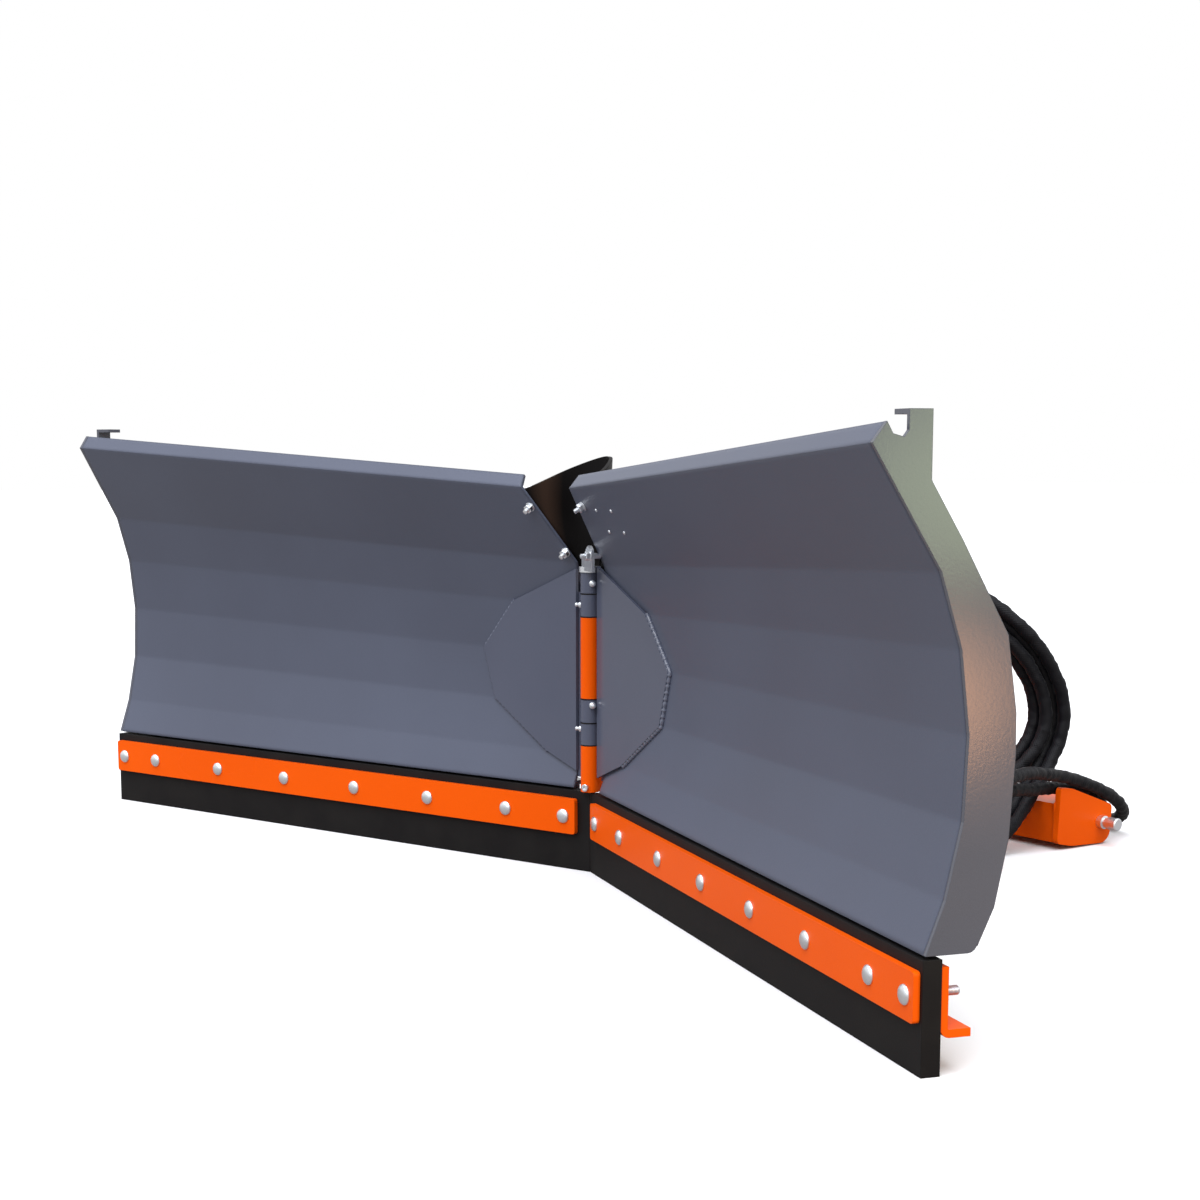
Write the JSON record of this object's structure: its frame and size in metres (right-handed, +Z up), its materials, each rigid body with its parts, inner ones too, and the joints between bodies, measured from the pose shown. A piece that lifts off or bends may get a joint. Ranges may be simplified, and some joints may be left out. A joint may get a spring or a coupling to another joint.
{
  "type": "v snow plough blade",
  "caption": "Hydraulic V snow plough with hinged folded-steel wings, bolted rubber edges, swing cylinders, hoses and a three-point headstock for a small tractor.",
  "frame": {"origin": "on the ground, under the middle of the part's width and depth, free hoses left out", "axes": "+X to the right across the wings seen from the front, -Y towards the face that pushes the snow, +Z up"},
  "size_m": [1.964, 1.2009, 0.616],
  "materials": {
    "grey_powder_coat": "semi-gloss powder coat",
    "orange_powder_coat": "gloss powder coat",
    "black_rubber": "matt sheet rubber",
    "sleeved_hose": "woven textile sleeve over rubber hose",
    "zinc_plate": "bright zinc plate",
    "hard_chrome": "ground hard chrome"
  },
  "bodies": {
    "frame": {"hinge_post": "orange_powder_coat", "main_beam": "orange_powder_coat", "upper_cylinder_plate": "orange_powder_coat", "lower_cylinder_plate": "orange_powder_coat", "headstock_beam": "orange_powder_coat", "mast": "orange_powder_coat", "right_brace": "orange_powder_coat", "left_brace": "orange_powder_coat", "top_clevis": "orange_powder_coat", "right_hitch_lug": "orange_powder_coat", "left_hitch_lug": "orange_powder_coat", "right_hitch_pin": "zinc_plate", "left_hitch_pin": "zinc_plate", "hose_guide": "orange_powder_coat", "centre_flap": "black_rubber", "left_tip_hose": "sleeved_hose", "left_base_hose": "sleeved_hose", "right_tip_hose": "sleeved_hose", "right_base_hose": "sleeved_hose", "left_tip_coupler": "zinc_plate", "left_base_coupler": "zinc_plate", "right_tip_coupler": "zinc_plate", "right_base_coupler": "zinc_plate"},
    "left_wing": {"left_mouldboard": "grey_powder_coat", "left_deflector": "grey_powder_coat", "left_cheek": "grey_powder_coat", "left_hinge_bar": "grey_powder_coat", "left_rubber_edge": "black_rubber", "left_clamp_strip": "orange_powder_coat", "left_edge_angle": "orange_powder_coat", "left_edge_carrier": "grey_powder_coat", "left_bottom_rail": "grey_powder_coat", "left_inner_rib": "grey_powder_coat", "left_middle_rib": "grey_powder_coat", "left_outer_rib": "grey_powder_coat", "left_cylinder_bracket": "grey_powder_coat"},
    "left_barrel": {"left_barrel": "orange_powder_coat", "left_base_pin": "zinc_plate"},
    "left_rod": {"left_piston_rod": "hard_chrome", "left_tip_pin": "zinc_plate"},
    "right_wing": {"right_mouldboard": "grey_powder_coat", "right_deflector": "grey_powder_coat", "right_cheek": "grey_powder_coat", "right_hinge_bar": "grey_powder_coat", "right_rubber_edge": "black_rubber", "right_clamp_strip": "orange_powder_coat", "right_edge_angle": "orange_powder_coat", "right_edge_carrier": "grey_powder_coat", "right_bottom_rail": "grey_powder_coat", "right_inner_rib": "grey_powder_coat", "right_middle_rib": "grey_powder_coat", "right_outer_rib": "grey_powder_coat", "right_cylinder_bracket": "grey_powder_coat", "hinge_pin": "zinc_plate"},
    "right_barrel": {"right_barrel": "orange_powder_coat", "right_base_pin": "zinc_plate"},
    "right_rod": {"right_piston_rod": "hard_chrome", "right_tip_pin": "zinc_plate"}
  },
  "joints": [
    {"name": "left_wing_swing", "type": "hinge", "parent": "frame", "child": "left_wing", "pos_m": [0, -0.20442, 0.26], "axis": [0, 0, -1], "range_deg": [0, 42.2], "deforming": ["centre_flap", "left_tip_hose", "left_base_hose"]},
    {"name": "left_barrel_swing", "type": "hinge", "parent": "frame", "child": "left_barrel", "pos_m": [-0.08, 0.29558, 0.26], "axis": [0, 0, -1], "range_deg": [-10, 0], "deforming": ["left_tip_hose", "left_base_hose"]},
    {"name": "left_rod_slide", "type": "slide", "parent": "left_barrel", "child": "left_rod", "axis": [-0.2733, -0.9619, 0], "range_m": [-0.14, 0]},
    {"name": "right_wing_swing", "type": "hinge", "parent": "frame", "child": "right_wing", "pos_m": [0, -0.20442, 0.26], "axis": [0, 0, 1], "range_deg": [0, 42.2], "deforming": ["centre_flap", "right_tip_hose", "right_base_hose"]},
    {"name": "right_barrel_swing", "type": "hinge", "parent": "frame", "child": "right_barrel", "pos_m": [0.08, 0.29558, 0.26], "axis": [0, 0, 1], "range_deg": [-10, 0], "deforming": ["right_tip_hose", "right_base_hose"]},
    {"name": "right_rod_slide", "type": "slide", "parent": "right_barrel", "child": "right_rod", "axis": [0.2733, -0.9619, 0], "range_m": [-0.14, 0]}
  ],
  "couplings": [
    {"joint": "left_barrel_swing", "follows": "left_wing_swing", "ratio": -0.2297},
    {"joint": "left_rod_slide", "follows": "left_wing_swing", "m_per_rad": -0.1892},
    {"joint": "right_barrel_swing", "follows": "right_wing_swing", "ratio": -0.2297},
    {"joint": "right_rod_slide", "follows": "right_wing_swing", "m_per_rad": -0.1892}
  ]
}
